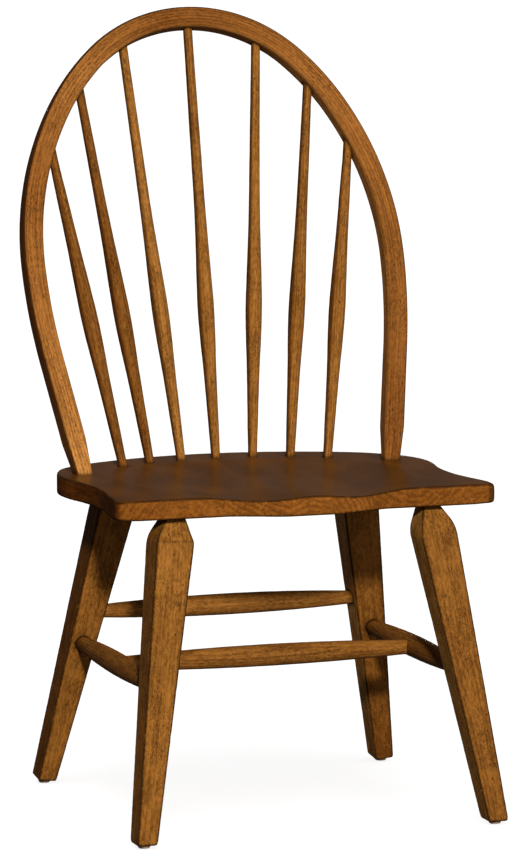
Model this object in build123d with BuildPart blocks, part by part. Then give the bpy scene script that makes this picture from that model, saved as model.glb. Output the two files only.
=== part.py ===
"""Bow-back side chair: a saddled seat glued up from six boards, a bent bow with seven
swelling spindles, four splayed square legs, turned stretchers and foot pads.

Frame: +Z up, the front faces -Y, X = 0 is the plane of symmetry, and the origin is on the
floor in the middle of the chair's depth. Millimetres and degrees.
"""

import os
from math import asin, cos, degrees, radians, sin, tan

from build123d import *

os.makedirs("parts", exist_ok=True)

# Feet on the floor, as distances across from the middle and back from the front feet.
front_row_y = -287.27
front_foot_x = 245.7
rear_foot_x = 248.1
rear_row_back = 453.0
front_splay = 9.08
front_rake = 11.48
rear_splay = 10.5
rear_rake = 12.94

# Seat blank. Distances back are measured on its top face from the front row of feet.
seat_height = 450.0
seat_pitch = 1.0
seat_thickness = 27.2
seat_back = 498.0
seat_back_radius = 370.0
seat_back_turn = 33.0
ear_radius = 136.0
hip_radius = 230.0
hip_turn = 12.5
waist_radius = 380.0
waist_flare = 8.5
flank_length = 68.5
front_corner_radius = 12.0
nose_flat = 30.0
nose_radius = 60.0
nose_slope = 24.0
nose_run = 45.0
top_arris = 3.0
under_arris = 1.5
seams = (-200.0, -112.0, -9.0, 91.5, 200.0)

# Saddle: at each distance back, the depth on the middle line, the depth and place of the
# two thigh hollows, and the place where the hollow runs out to the flat rim.
saddle_backs = (8.0, 140.0, 235.0, 330.0, 418.0)
pommel_depths = (0.6, 3.2, 6.4, 6.6, -1.0)
hollow_depths = (5.0, 7.4, 8.6, 7.2, -1.0)
hollow_xs = (74.0, 80.0, 86.0, 84.0, 80.0)
rim_xs = (124.0, 172.0, 192.0, 182.0, 150.0)
saddle_reach = 236.0
saddle_rise = 6.0

# Bow. Its centre line is a straight limb and four tangent arcs in one leaning plane.
bow_width = 27.0
bow_depth = 29.0
bow_arris = 5.0
bow_back = 346.7
bow_lean = 20.77
bow_foot_x = 221.8
bow_flare = 9.46
bow_limb = 162.2
bow_radii = (843.0, 422.0, 339.0)
bow_arc_angles = (8.9, 31.1, 15.3)
bow_foot_width = 21.0
bow_foot_depth = 22.0
bow_foot_taper = 46.0
bow_tenon = 16.0

# Spindles. Their heads are spaced along the bow, measured from the middle of its crown.
spindle_arc_back = 448.5
spindle_arc_radius = 270.0
spindle_arc_step = 11.12
spindle_head_runs = (0.0, 102.2, 194.5, 289.4)
spindle_end_radius = 6.4
spindle_lower_radius = 8.1
spindle_lower_height = 85.0
spindle_belly_radius = 11.5
spindle_belly_height = 205.0
spindle_upper_radius = 9.0
spindle_upper_height = 298.0
spindle_neck_radius = 7.6
spindle_neck_height = 365.0
spindle_grip = 46.0
spindle_collar = 6.0
spindle_tenon = 18.0

# Legs. Near the seat each face bends inwards at a knee. A knee is given by its drop below
# the seat, the share of the height above it that the face draws in, and its easing radius.
# The front legs' inner knees differ: the left one first, then the right one.
front_leg_foot_width = 28.3
front_leg_foot_depth = 33.0
rear_leg_foot_width = 27.0
rear_leg_foot_depth = 34.0
front_leg_growth_share = 0.0632
rear_leg_growth_share = 0.0655
leg_depth_growth_share = 0.0385
leg_arris = 2.5
foot_arris = 1.6
outer_knee_drop = 25.0
outer_knee_share = 0.55
outer_knee_radius = 50.0
inner_knee_drops = (32.0, 36.0)
inner_knee_shares = (0.4, 0.42)
inner_knee_radii = (6.0, 45.0)
side_knee_drop = 32.0
rear_knee_drop = 17.0
soft_knee_share = 0.31
soft_knee_radius = 80.0
leg_tenon_radius = 11.0
leg_tenon = 17.0
front_leg_lift = 4.5
rear_leg_lift = 6.0
rear_foot_cut_share = 0.6

# Stretchers and foot pads.
side_stretcher_height = 203.0
side_stretcher_radius = 15.2
side_stretcher_end_radius = 9.8
rear_stretcher_height = 245.0
rear_stretcher_radius = 14.7
rear_stretcher_end_radius = 9.3
cross_stretcher_radius = 14.9
cross_stretcher_end_radius = 10.2
cross_stretcher_stop = 3.0
stretcher_grip = 24.0
cross_stretcher_grip = 14.0
pad_radius = 8.0
pad_rim = 1.2

# Fits: the glue line round every round or square tenon, and how far cuts run past.
glue_line = 0.05
cut_overrun = 40.0

seat_top = Plane(
    origin=(0, front_row_y, seat_height),
    x_dir=(1, 0, 0),
    z_dir=(0, sin(radians(seat_pitch)), cos(radians(seat_pitch))),
)
seat_under = seat_top.offset(-seat_thickness)


def finished(part, name):
    """Label a sub-part and write it out."""
    part.label = name
    export_step(part, f"parts/{name}.step")


def on_seat(across, back):
    """Point on the seat's flat top, that far across and back from the front feet."""
    return seat_top.from_local_coords(Vector(across, back, 0))


def leg_line(foot_x, foot_back, splay, rake):
    """Floor point and axis of a right-hand leg; the axis rises one unit in height."""
    foot = Vector(foot_x, front_row_y + foot_back, 0)
    return foot, Vector(-tan(radians(splay)), tan(radians(rake)), 1)


front_foot, front_axis = leg_line(front_foot_x, 0, front_splay, front_rake)
rear_foot, rear_axis = leg_line(rear_foot_x, rear_row_back, rear_splay, -rear_rake)


def where_leg_meets_seat(foot, axis):
    """Point where a leg's axis reaches the seat's underside."""
    start = seat_under.to_local_coords(foot)
    end = seat_under.to_local_coords(foot + axis)
    return foot + axis * (start.Z / (start.Z - end.Z))


front_leg_head = where_leg_meets_seat(front_foot, front_axis)
rear_leg_head = where_leg_meets_seat(rear_foot, rear_axis)

# The leaning plane of the bow, and the right half of its centre line from foot to crown.
bow_plane = Plane(
    origin=on_seat(0, bow_back),
    x_dir=(1, 0, 0),
    z_dir=(0, -cos(radians(bow_lean)), sin(radians(bow_lean))),
)
limb_way = Vector(sin(radians(bow_flare)), cos(radians(bow_flare)))
limb_side = Vector(limb_way.Y, -limb_way.X)


def bow_chain(outward, start):
    """Right half of a bow outline, that far outward of the centre line."""
    foot = Vector(bow_foot_x, 0) + limb_side * outward
    piece = Line(foot + limb_way * start, foot + limb_way * bow_limb)
    chain = [piece]
    for radius, turn in zip(bow_radii, bow_arc_angles):
        piece = JernArc(piece @ 1, piece % 1, radius + outward, turn)
        chain.append(piece)
    crown_turn = degrees(asin((piece % 1).Y))
    crown_radius = (piece @ 1).X / sin(radians(crown_turn))
    chain.append(JernArc(piece @ 1, piece % 1, crown_radius, crown_turn))
    return chain


# The centre line of the right half, drawn flat, from its foot up to the crown.
with BuildLine() as bow_centre:
    bow_chain(0, 0)
bow_path = bow_centre.wires()[0]


def spindle_ends(number):
    """Foot on the seat and head on the bow's centre line of the spindle of that number,
    counted from the middle one, which is zero, positive to the right."""
    turn = radians(spindle_arc_step * number)
    dip = spindle_arc_radius * (1 - cos(turn))
    foot = on_seat(spindle_arc_radius * sin(turn), spindle_arc_back - dip)
    flat = bow_path.position_at(1 - spindle_head_runs[abs(number)] / bow_path.length)
    head = Vector(-flat.X if number < 0 else flat.X, flat.Y)
    return foot, bow_plane.from_local_coords(head)


spindles_each_side = len(spindle_head_runs) - 1
spindle_numbers = range(-spindles_each_side, spindles_each_side + 1)

# Side stretchers end on the leg axes; the cross stretcher ends just short of theirs.
side_front = front_foot + front_axis * side_stretcher_height
side_rear = rear_foot + rear_axis * side_stretcher_height
rear_right = rear_foot + rear_axis * rear_stretcher_height
cross_right = (side_front + side_rear) / 2 - Vector(cross_stretcher_stop, 0, 0)


def other_side(point):
    """The same point on the left."""
    return Vector(-point.X, point.Y, point.Z)


# Seat blank: outline drawn for the right half, then mirrored.
with BuildPart() as seat_blank:
    with BuildSketch(seat_top):
        with BuildLine():
            back = JernArc((0, seat_back), (1, 0), seat_back_radius, -seat_back_turn)
            ear = JernArc(back @ 1, back % 1, ear_radius, seat_back_turn - 90)
            hip = JernArc(ear @ 1, ear % 1, hip_radius, -hip_turn)
            waist = JernArc(hip @ 1, hip % 1, waist_radius, hip_turn + waist_flare)
            flank = Line(waist @ 1, waist @ 1 + (waist % 1) * flank_length)
            corner = JernArc(flank @ 1, flank % 1, front_corner_radius, -90 - waist_flare)
            bulge = 2 * nose_radius * (1 - cos(radians(nose_slope)))
            bulge = bulge + nose_run * sin(radians(nose_slope))
            nose = Line((0, (corner @ 1).Y - bulge), (nose_flat, (corner @ 1).Y - bulge))
            swell = JernArc(nose @ 1, nose % 1, nose_radius, nose_slope)
            slope = Line(swell @ 1, swell @ 1 + (swell % 1) * nose_run)
            ease = JernArc(slope @ 1, slope % 1, nose_radius, -nose_slope)
            Line(ease @ 1, corner @ 1)
            Line(nose @ 0, back @ 0)
        make_face()
        mirror(about=Plane.YZ)
    extrude(amount=-seat_thickness)
    levels = seat_blank.faces().sort_by(Axis(seat_top.origin, seat_top.z_dir))
    fillet(levels[-1].edges(), top_arris)
    levels = seat_blank.faces().sort_by(Axis(seat_top.origin, seat_top.z_dir))
    fillet(levels[0].edges(), under_arris)


def saddle_section(back, pommel, hollow, hollow_x, rim_x):
    """Closed upright section of the waste the saddle takes out, that far back."""
    plane = Plane(
        origin=on_seat(0, back),
        x_dir=seat_top.x_dir,
        z_dir=-seat_top.y_dir,
    )
    with BuildSketch(plane) as section:
        with BuildLine():
            floor = Spline(
                (-saddle_reach, saddle_rise),
                (-rim_x, 0),
                (-hollow_x, -hollow),
                (0, -pommel),
                (hollow_x, -hollow),
                (rim_x, 0),
                (saddle_reach, saddle_rise),
            )
            Polyline(
                floor @ 1,
                (saddle_reach, cut_overrun),
                (-saddle_reach, cut_overrun),
                floor @ 0,
            )
        make_face()
    return section.sketch


# Saddle: two thigh hollows either side of a low pommel, which run back into one dish.
with BuildPart() as seat:
    add(seat_blank.part)
    saddle = [
        saddle_section(*values)
        for values in zip(saddle_backs, pommel_depths, hollow_depths, hollow_xs, rim_xs)
    ]
    loft(saddle, mode=Mode.SUBTRACT)


def drill(floor, way, radius, depth):
    """Blind round hole, from the middle of its flat floor out along a direction."""
    with Locations(Plane(origin=floor, z_dir=way)):
        outward = (Align.CENTER, Align.CENTER, Align.MIN)
        Cylinder(radius + glue_line, depth, align=outward, mode=Mode.SUBTRACT)


def bow_foot_plane(along):
    """Plane square across the right limb of the bow, that far up it from the seat."""
    way = bow_plane.x_dir * limb_way.X + bow_plane.y_dir * limb_way.Y
    side = bow_plane.x_dir * limb_side.X + bow_plane.y_dir * limb_side.Y
    foot = Vector(bow_foot_x, 0) + limb_way * along
    return Plane(origin=bow_plane.from_local_coords(foot), x_dir=side, z_dir=way)


def bow_foot_shape(gap, mode):
    """Right foot of the bow with its tenon, grown by a gap on its four sides."""
    with BuildSketch(bow_foot_plane(bow_foot_taper)) as upper:
        RectangleRounded(bow_width + 2 * gap, bow_depth + 2 * gap, bow_arris + gap)
    with BuildSketch(bow_foot_plane(0)) as lower:
        corner = bow_arris * bow_foot_width / bow_width
        RectangleRounded(bow_foot_width + 2 * gap, bow_foot_depth + 2 * gap, corner + gap)
    taper = loft([upper.sketch, lower.sketch], mode=Mode.PRIVATE)
    tenon = extrude(lower.sketch, amount=-bow_tenon, mode=Mode.PRIVATE)
    both = taper + tenon
    add([both, mirror(both, about=Plane.YZ, mode=Mode.PRIVATE)], mode=mode)


# Blind sockets in the seat for the bow, the spindles and the legs.
with BuildPart() as bored_seat:
    add(seat.part)
    bow_foot_shape(glue_line, Mode.SUBTRACT)
    for number in spindle_numbers:
        foot, head = spindle_ends(number)
        way = (head - foot).normalized()
        depth = spindle_tenon + spindle_collar
        drill(foot - way * spindle_tenon, way, spindle_end_radius, depth)
    for head, axis in ((front_leg_head, front_axis), (rear_leg_head, rear_axis)):
        for point, way in ((head, axis), (other_side(head), other_side(axis))):
            floor = point + way.normalized() * leg_tenon
            drill(floor, -way, leg_tenon_radius, 2 * leg_tenon)

# Boards, from left to right, split at their glued seams.
board_edges = (None, *seams, None)
for number, (left, right) in enumerate(zip(board_edges, board_edges[1:]), start=1):
    with BuildPart() as seat_board:
        add(bored_seat.part)
        if left is not None:
            split(bisect_by=Plane.YZ.offset(left), keep=Keep.TOP)
        if right is not None:
            split(bisect_by=Plane.YZ.offset(right), keep=Keep.BOTTOM)
    finished(seat_board.part, f"seat_board_{number}")

# Bow: the bent square stick with rounded arrises, then its two tapered feet.
with BuildPart() as bow:
    with BuildSketch(bow_plane):
        with BuildLine():
            outer = bow_chain(bow_width / 2, bow_foot_taper)
            inner = bow_chain(-bow_width / 2, bow_foot_taper)
            Line(outer[0] @ 0, inner[0] @ 0)
            Line(outer[-1] @ 1, inner[-1] @ 1)
        make_face()
        mirror(about=Plane.YZ)
    extrude(amount=bow_depth / 2, both=True)
    broad = bow.faces().filter_by(GeomType.PLANE).sort_by(SortBy.AREA)[-2:]
    arrises = broad.edges().filter_by(lambda e: e.length > 2 * bow_width)
    fillet(arrises, bow_arris)
    bow_foot_shape(0, Mode.ADD)
    for number in spindle_numbers:
        foot, head = spindle_ends(number)
        drill(head, foot - head, spindle_end_radius, spindle_grip)
finished(bow.part, "bow")


def stick_plane(start, way, across):
    """Plane whose local Y runs from start along a stick, for drawing half its profile."""
    side = across.cross(way).normalized()
    return Plane(origin=start, x_dir=side, z_dir=side.cross(way))


# Spindles, all turned to one pattern and cut to length at the head.
for number in spindle_numbers:
    foot, head = spindle_ends(number)
    length = (head - foot).length
    way = (head - foot).normalized()
    with BuildPart() as spindle:
        with BuildSketch(stick_plane(foot, way, Vector(0, 1, 0))):
            with BuildLine():
                lower = Spline(
                    (spindle_end_radius, spindle_collar),
                    (spindle_lower_radius, spindle_lower_height),
                    (spindle_belly_radius, spindle_belly_height),
                    tangents=((0, 1), (0, 1)),
                )
                upper = Spline(
                    lower @ 1,
                    (spindle_upper_radius, spindle_upper_height),
                    (spindle_neck_radius, spindle_neck_height),
                    tangents=((0, 1), (spindle_end_radius - spindle_neck_radius,
                                       length - spindle_grip - spindle_neck_height)),
                )
                Polyline(
                    upper @ 1,
                    (spindle_end_radius, length - spindle_grip),
                    (spindle_end_radius, length),
                    (0, length),
                    (0, -spindle_tenon),
                    (spindle_end_radius, -spindle_tenon),
                    lower @ 0,
                )
            make_face()
        revolve(axis=Axis(foot, way))
    finished(spindle.part, f"spindle_{number + spindles_each_side + 1}")


def turned_stick(start, end, end_radius, middle_radius, grip):
    """Stretcher between two points: straight round ends and one long swell."""
    half = (end - start).length / 2
    way = (end - start).normalized()
    with BuildSketch(stick_plane((start + end) / 2, way, Vector(0, 0, 1))) as profile:
        with BuildLine():
            middle = (middle_radius, 0)
            upper = TangentArc(middle, (end_radius, half - grip), tangent=(0, 1))
            lower = TangentArc(middle, (end_radius, grip - half), tangent=(0, -1))
            Polyline(
                upper @ 1, (end_radius, half), (0, half), (0, -half), (end_radius, -half),
                lower @ 1,
            )
        make_face()
    revolve(profile.sketch, axis=Axis(start, way))


def leg_view(plane, centre_at, foot_size, growth_share, head, near_knee, far_knee):
    """Outline of a leg in a front or side view, a little longer than to the seat."""
    top = head + leg_tenon
    outline = []
    bends = []
    for side, knee in ((-1, near_knee), (1, far_knee)):
        drop, inset_share, radius = knee
        height = head - drop
        half = (foot_size + growth_share * height) / 2
        bend = (centre_at(height) + side * half, height)
        top_half = half - inset_share * (top - height)
        face = [(centre_at(0) + side * foot_size / 2, 0), bend]
        face.append((centre_at(top) + side * top_half, top))
        outline = outline + face[::side]
        bends.append((bend, radius))
    with BuildSketch(plane) as view:
        with BuildLine():
            Polyline(*outline, close=True)
        make_face()
        for bend, radius in bends:
            fillet(view.vertices().sort_by_distance(bend)[0], radius)
    return view.sketch


def square_leg(foot, axis, head, width, growth_share, depth, lift, cut_share, knees):
    """Leg cut to its front view and its side view, trimmed to the seat and the foot. The
    knees are those of its outer, inner, front and back faces."""
    outer_knee, inner_knee, *side_knees = knees
    front_knees = (inner_knee, outer_knee) if foot.X > 0 else (outer_knee, inner_knee)
    front = leg_view(
        Plane.XZ, lambda z: foot.X + axis.X * z, width, growth_share, head.Z, *front_knees
    )
    side = leg_view(
        Plane.YZ, lambda z: foot.Y + axis.Y * z, depth, leg_depth_growth_share, head.Z,
        *side_knees,
    )
    extrude(front, amount=seat_height, both=True)
    extrude(side, amount=seat_height, both=True, mode=Mode.INTERSECT)
    square = Vector(axis.X * cut_share, axis.Y * cut_share, 1)
    split(bisect_by=Plane(origin=foot + axis * lift, z_dir=square), keep=Keep.TOP)
    split(bisect_by=seat_under, keep=Keep.BOTTOM)


def finish_leg(leg, head, axis):
    """Rounded arrises and foot, then the round tenon that goes up into the seat."""
    long_edges = leg.edges().filter_by(lambda e: e.bounding_box().size.Z > leg_tenon / 2)
    fillet(long_edges, leg_arris)
    base = leg.faces().sort_by(Axis.Z)[0]
    fillet(base.edges(), foot_arris)
    with Locations(Plane(origin=head, z_dir=axis)):
        low = (Align.CENTER, Align.CENTER, Align.MIN)
        high = (Align.CENTER, Align.CENTER, Align.MAX)
        Cylinder(leg_tenon_radius, leg_tenon, align=low)
        Cylinder(leg_tenon_radius / 2, leg_tenon, align=high)


def on_side(side, *points):
    """Points or ways of the right-hand half, or their mirror images for side -1."""
    return [Vector(side * point.X, point.Y, point.Z) for point in points]


sides = (("left", -1), ("right", 1))
side_way = side_rear - side_front
rear_way = Vector(-1, 0, 0)

# Front legs. The left one keeps a crisp inner knee; the other knees are eased.
outer_knee = (outer_knee_drop, outer_knee_share, outer_knee_radius)
side_knee = (side_knee_drop, soft_knee_share, soft_knee_radius)
inner_knees = zip(inner_knee_drops, inner_knee_shares, inner_knee_radii)
for (name, side), inner_knee in zip(sides, inner_knees):
    foot, axis, head, floor, way = on_side(
        side, front_foot, front_axis, front_leg_head, side_front, side_way
    )
    with BuildPart() as front_leg:
        square_leg(
            foot, axis, head, front_leg_foot_width, front_leg_growth_share,
            front_leg_foot_depth, front_leg_lift, 0,
            (outer_knee, inner_knee, side_knee, side_knee),
        )
        finish_leg(front_leg, head, axis)
        drill(floor, way, side_stretcher_end_radius, 2 * stretcher_grip)
    finished(front_leg.part, f"leg_front_{name}")

# Rear legs, whose feet are cut partly square to the leg.
rear_knee = (rear_knee_drop, soft_knee_share, soft_knee_radius)
for name, side in sides:
    foot, axis, head, floor, way, rear_floor, inward = on_side(
        side, rear_foot, rear_axis, rear_leg_head, side_rear, -side_way, rear_right, rear_way
    )
    with BuildPart() as rear_leg:
        square_leg(
            foot, axis, head, rear_leg_foot_width, rear_leg_growth_share, rear_leg_foot_depth,
            rear_leg_lift, rear_foot_cut_share, (rear_knee, rear_knee, rear_knee, rear_knee),
        )
        finish_leg(rear_leg, head, axis)
        drill(floor, way, side_stretcher_end_radius, 2 * stretcher_grip)
        drill(rear_floor, inward, rear_stretcher_end_radius, 2 * stretcher_grip)
    finished(rear_leg.part, f"leg_rear_{name}")

# Stretchers.
for name, side in sides:
    start, end, floor, inward = on_side(side, side_front, side_rear, cross_right, rear_way)
    with BuildPart() as side_stretcher:
        turned_stick(start, end, side_stretcher_end_radius, side_stretcher_radius, stretcher_grip)
        drill(floor, inward, cross_stretcher_end_radius, 2 * cross_stretcher_grip)
    finished(side_stretcher.part, f"stretcher_{name}")

with BuildPart() as cross_stretcher:
    turned_stick(
        other_side(cross_right), cross_right, cross_stretcher_end_radius,
        cross_stretcher_radius, cross_stretcher_grip,
    )
finished(cross_stretcher.part, "stretcher_cross")

with BuildPart() as rear_stretcher:
    turned_stick(
        other_side(rear_right), rear_right, rear_stretcher_end_radius,
        rear_stretcher_radius, stretcher_grip,
    )
finished(rear_stretcher.part, "stretcher_rear")

# Foot pads: level underneath, and cut on top to the foot they are under.
for row, foot, axis, lift, cut_share in (
    ("front", front_foot, front_axis, front_leg_lift, 0),
    ("rear", rear_foot, rear_axis, rear_leg_lift, rear_foot_cut_share),
):
    for name, side in sides:
        top, square = on_side(
            side, foot + axis * lift, Vector(axis.X * cut_share, axis.Y * cut_share, 1)
        )
        with BuildPart() as pad:
            with BuildSketch():
                with Locations((top.X, top.Y)):
                    Circle(pad_radius)
            extrude(amount=2 * lift)
            chamfer(pad.edges().sort_by(Axis.Z)[0], pad_rim)
            split(bisect_by=Plane(origin=top, z_dir=square), keep=Keep.BOTTOM)
        finished(pad.part, f"pad_{row}_{name}")
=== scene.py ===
"""Dresses the bow-back side chair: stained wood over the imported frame, in a pale studio.

Metres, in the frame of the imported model: +Z up, the front faces -Y, the origin is on the
floor in the middle of the chair's depth.
"""

from math import cos, pi, radians, sin, tan

import bmesh
import bpy
import numpy as np
from bpy.props import FloatProperty, FloatVectorProperty, IntProperty, PointerProperty
from mathutils import Matrix, Vector, noise
from mathutils.bvhtree import BVHTree


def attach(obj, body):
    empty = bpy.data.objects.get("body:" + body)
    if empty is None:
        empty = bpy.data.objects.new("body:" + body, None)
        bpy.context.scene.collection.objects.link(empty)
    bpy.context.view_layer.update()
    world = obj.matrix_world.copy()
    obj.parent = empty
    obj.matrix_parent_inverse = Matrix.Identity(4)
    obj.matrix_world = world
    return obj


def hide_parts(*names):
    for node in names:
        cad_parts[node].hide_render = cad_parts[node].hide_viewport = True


bl_info = {
    "name": "Bow-Back Chair Dresser",
    "version": (1, 0, 0),
    "blender": (4, 5, 0),
    "location": "View3D > Sidebar > Chair",
    "description": "Dresses the packed chair in worn stained wood and sets it in a studio",
    "category": "Object",
}

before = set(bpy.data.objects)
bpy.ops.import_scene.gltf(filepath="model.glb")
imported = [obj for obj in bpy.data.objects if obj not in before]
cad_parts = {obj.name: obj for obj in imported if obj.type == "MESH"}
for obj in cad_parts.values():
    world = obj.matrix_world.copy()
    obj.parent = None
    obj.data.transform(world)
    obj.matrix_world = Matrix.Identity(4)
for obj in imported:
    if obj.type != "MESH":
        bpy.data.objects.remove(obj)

ACROSS, BACKWARD, UPWARD = Vector((1, 0, 0)), Vector((0, 1, 0)), Vector((0, 0, 1))

# The chair's own sizes, in metres, as its drawing gives them.
FRONT_ROW_Y = -0.28727
SEAT_HEIGHT = 0.450
SEAT_PITCH = radians(1.0)
SEAMS = (-0.200, -0.112, -0.009, 0.0915, 0.200)
FRONT_FOOT = (0.2457, 0.0, radians(9.08), radians(11.48))
REAR_FOOT = (0.2481, 0.453, radians(10.5), radians(-12.94))
SIDE_HEIGHT = 0.203
REAR_HEIGHT = 0.245
CROSS_STOP = 0.003
BOW_BACK = 0.3467
BOW_LEAN = radians(20.77)
BOW_FACING = (0.0, -cos(BOW_LEAN), sin(BOW_LEAN))
BOW_FOOT_X = 0.2218
BOW_FLARE = radians(9.46)
BOW_LIMB = 0.1622
BOW_ARCS = ((0.843, 8.9), (0.422, 31.1), (0.339, 15.3))
BOW_WIDTH = 0.027
BOW_DEPTH = 0.029
BOW_ARRIS = 0.005
BOW_FOOT_SCALE = 0.77
BOW_TAPER = 0.046
BOW_TENON = 0.016
ARC_BACK = 0.4485
ARC_RADIUS = 0.270
ARC_STEP = radians(11.12)
HEAD_RUNS = (0.0, 0.1022, 0.1945, 0.2894)
SPINDLE_TENON = 0.018
SPINDLE_GRIP = 0.046
SPINDLE_END = 0.0064
SPINDLE_NECK = 0.0076
SPINDLE_NECK_HEIGHT = 0.365
SPINDLE_BELLY = 0.0115
# Height above the seat and radius.
SPINDLE_TURNING = (
    (0.000, 0.0064), (0.006, 0.0064), (0.045, 0.0073), (0.085, 0.0081), (0.130, 0.0093),
    (0.165, 0.0107), (0.205, 0.0115), (0.245, 0.0107), (0.298, 0.0090), (0.335, 0.0081),
    (0.365, 0.0076),
)
STRETCHER_GRIP = 0.024
CROSS_GRIP = 0.014
SIDE_RADII = (0.0098, 0.0152)
REAR_RADII = (0.0093, 0.0147)
CROSS_RADII = (0.0102, 0.0149)

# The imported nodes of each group.
GROUPS = {
    "seat": [f"seat_board_{number}" for number in range(1, 7)],
    "bow": ["bow"],
    "spindles": [f"spindle_{number}" for number in range(1, 8)],
    "legs": [f"leg_{end}_{side}" for end in ("front", "rear") for side in ("left", "right")],
    "stretchers": [f"stretcher_{name}" for name in ("left", "right", "cross", "rear")],
}
# How light or dark each piece of a group took the stain.
TONES = {
    "seat": (0.75, 0.81, 0.86, 0.91, 0.77, 0.83),
    "spindles": (0.70, 0.65, 1.03, 0.92, 0.93, 0.87, 0.91),
    "legs": (0.88, 0.82, 0.77, 0.74),
    "stretchers": (0.80, 0.78, 0.80, 0.86),
}
# Painted light along the bow from the left foot to the right one: brightest at the left foot,
# falling off towards the right.
BOW_TONE_RUNS = (0.0, 0.12, 0.4, 0.6, 0.76, 1.0, 1.25, 1.5)
BOW_PAINTED_LIGHT = (1.78, 1.32, 0.80, 1.18, 0.68, 1.04, 0.86, 0.73)
# Painted shading: what is left of the tone on the faces to the left, darker or lighter as the
# light falls on each piece, and painted shade at the foot of the piece.
LEFT_FACE_PAINTED_SHADING = {
    "leg_front_left": 0.88,
    "leg_rear_left": 0.60,
    "leg_front_right": 1.7,
    "leg_rear_right": 2.2,
    "bow": 1.0,
    "seat_board_1": 0.55,
    **{f"spindle_{number}": 0.45 for number in range(1, 8)},
}
# Painted shade that darkens each leg towards the floor, where less light falls.
FOOT_PAINTED_SHADE = {
    "leg_front_left": 0.86, "leg_front_right": 0.82,
    "leg_rear_left": 0.98, "leg_rear_right": 0.60,
}
# Painted shade and light: how much darker the bow is on its outer side, and how much lighter on
# its inner one.
BOW_OUTSIDE_PAINTED_SHADE = 0.62
BOW_INSIDE_PAINTED_LIGHT = 0.5
# For each wood: how strong its rings show, how thick and how wavy they are, how cloudy and
# how mottled it is, and its tint.
LOOKS = {
    "stained_seat": (0.52, 0.0080, 0.036, 0.6, 0.28, (1.0, 0.90, 0.90)),
    "stained_legs": (0.35, 0.0050, 0.032, 0.6, 0.42, (1.0, 1.07, 1.3)),
    "stained_bow": (0.70, 0.0034, 0.010, 0.25, 0.30, (1.0, 0.97, 1.3)),
    "stained_sticks": (0.60, 0.0040, 0.016, 0.3, 0.4, (1.0, 1.06, 1.4)),
}
# The noises of the wood: lumps per metre across the log and along it, detail, roughness.
LOG_NOISE = {
    "bends": ((15, 15, 3.4), 3.0),
    "fading": ((11, 11, 3), 2.0),
    "fibres": ((480, 480, 10), 1.0),
    "clouds": ((52, 52, 34), 4.0, 0.6),
    "patches": ((330, 330, 130), 2.0),
    "streaks": ((170, 170, 7), 2.0),
    "pores": ((950, 950, 210), 0.0),
    "dots": ((1150, 1150, 620), 0.0),
    "crowds": ((40, 40, 16), 3.0),
    "breaks": ((150, 150, 60), 3.0),
    "shades": ((16, 16, 9), 3.0),
}
SEAT_SIDE_ROUGHNESS = 0.85
SEAT_GLOSS = 1.3
# Where the pith of each board, of each leg and of the bow lies from the middle.
SEAT_PITHS = (
    (-0.035, -0.045), (0.03, -0.06), (-0.02, 0.05), (0.045, -0.035), (0.0, 0.055), (-0.03, -0.05),
)
LEG_PITHS = ((0.03, 0.052), (-0.045, 0.04), (0.04, -0.05), (-0.03, -0.06))
BOW_PITH = (0.045, -0.05)
# The seat isn't quite even: how far its left ear and its right side stand to the right, and
# between which distances from the middle that sets in.
EAR_SHIFT = 0.004
RIGHT_SHIFT = 0.003
RIM = (0.232, 0.259)
# The spindles' feet stand a little to the right of their even spacing, and the seat goes
# with them round each socket, between these distances.
FOOT_SHIFT = 0.0012
SOCKET_RIM = (0.020, 0.010)
# Round the seat's front corners: where they are rounded over, and where one is worn dark.
SOFT_CORNER = (0.026, 0.008)
WORN_CORNER = (0.0075, 0.004)
# Half the seat's width, the height of the boards' middle, and a place past both sides.
SEAT_HALF = 0.24
SEAT_MIDDLE = 0.437
PAST_SEAT = 1.0
# The scored line on the front left leg: its height, its fall across, from where, its width.
SCORE_HEIGHT = 0.3915
SCORE_FALL = 0.05
SCORE_PLACE = 0.165
SCORE_WIDTH = 0.0009
# How sharply a surface turns, in turns per metre, where an arris starts and where it is full.
SHARP = (70, 135)
# How far from another piece the glaze reaches, and up to what height the painted shade at a foot
# reaches.
GLAZE_REACH = 0.006
FOOT_SHADE_HEIGHT = 0.35
# Lumps per metre of the knocks, of the places where they crowd and of the tool marks.
KNOCKS, KNOCK_CROWDS, TOOL_MARKS = 95, 22, (45, 45, 30)
# Noise fills about a quarter of its range to each side, so this brings it to the full size.
NOISE_SWING = 4.0
# A stick bends to the sides more than back and forth.
BEND_WAY = (1.0, 0.6, 0.0)
# The radius at the top of the lathe's curve.
LATHE_TOP = 0.0125
# Points along the bow that its grain is measured from, and vertices measured at once.
PATH_POINTS = 1600
AT_ONCE = 4000
# Vertices closer than this are one.
SAME_POINT = 1e-6

# A floor that reaches past all that the camera sees.
FLOOR_CORNERS = ((-30, -12, 0), (30, -12, 0), (30, 60, 0), (-30, 60, 0))
# Azimuth and elevation of the weak light and of the floor's, and elevation of the rear one.
FILL_FROM = (radians(38), radians(12))
FLOOR_LIGHT_FROM = (radians(-13), radians(70))
BACK_HEIGHT = radians(4)
CAMERA_SHIFT = (0.0006, -0.0006)
# What every colour on the panel has.
COLOUR = {"subtype": "COLOR", "size": 3, "min": 0.0, "max": 1.0}


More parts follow.
